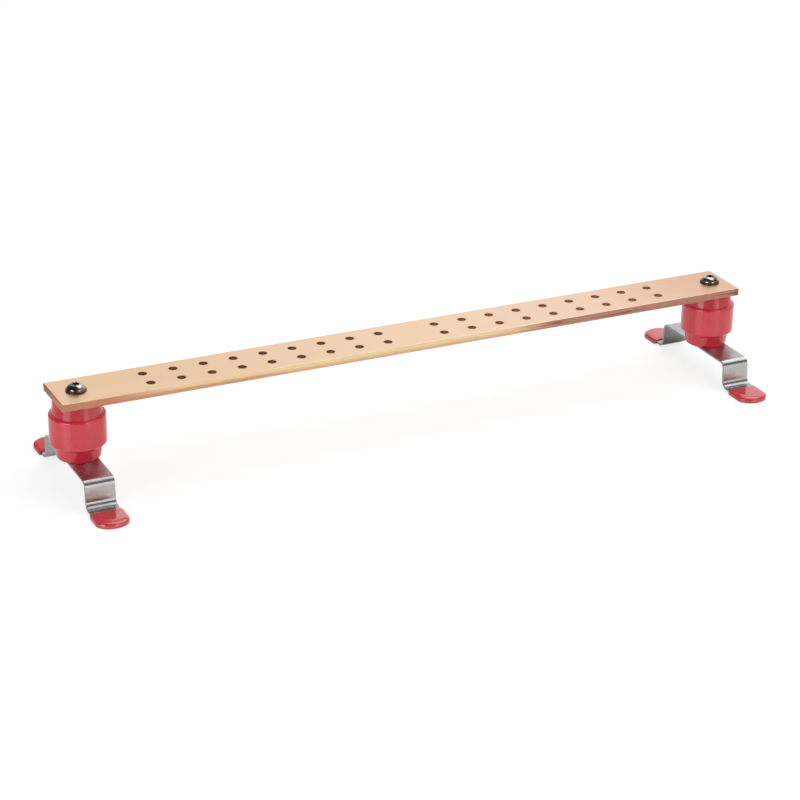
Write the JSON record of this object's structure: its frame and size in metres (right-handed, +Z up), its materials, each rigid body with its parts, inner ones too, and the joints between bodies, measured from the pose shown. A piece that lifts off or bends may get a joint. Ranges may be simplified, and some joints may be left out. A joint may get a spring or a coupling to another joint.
{
  "type": "rack grounding busbar",
  "caption": "Flat copper grounding bar with two rows of lug holes, raised on red standoff insulators and bent steel straps with dipped feet.",
  "frame": {"origin": "on the floor midway between the two insulators, under the middle of the hole pattern", "axes": "+X along the bar, +Y to the back across the bar, +Z up"},
  "size_m": [0.6168, 0.1718, 0.0847],
  "materials": {
    "copper": "satin bare copper",
    "red_insulator": "glossy moulded polyester",
    "red_vinyl": "glossy dipped vinyl",
    "strap_steel": "brushed stainless steel",
    "screw_steel": "polished steel",
    "washer_steel": "dark steel",
    "insert_brass": "turned brass"
  },
  "bodies": {
    "root": {"busbar": "copper", "insulator_left": "red_insulator", "bracket_left": "strap_steel", "bar_screw_left": "screw_steel", "bracket_screw_left": "screw_steel", "bar_washer_left": "washer_steel", "bracket_washer_left": "washer_steel", "insert_upper_left": "insert_brass", "insert_lower_left": "insert_brass", "foot_cap_front_left": "red_vinyl", "foot_cap_rear_left": "red_vinyl", "insulator_right": "red_insulator", "bracket_right": "strap_steel", "bar_screw_right": "screw_steel", "bracket_screw_right": "screw_steel", "bar_washer_right": "washer_steel", "bracket_washer_right": "washer_steel", "insert_upper_right": "insert_brass", "insert_lower_right": "insert_brass", "foot_cap_front_right": "red_vinyl", "foot_cap_rear_right": "red_vinyl"}
  },
  "joints": []
}
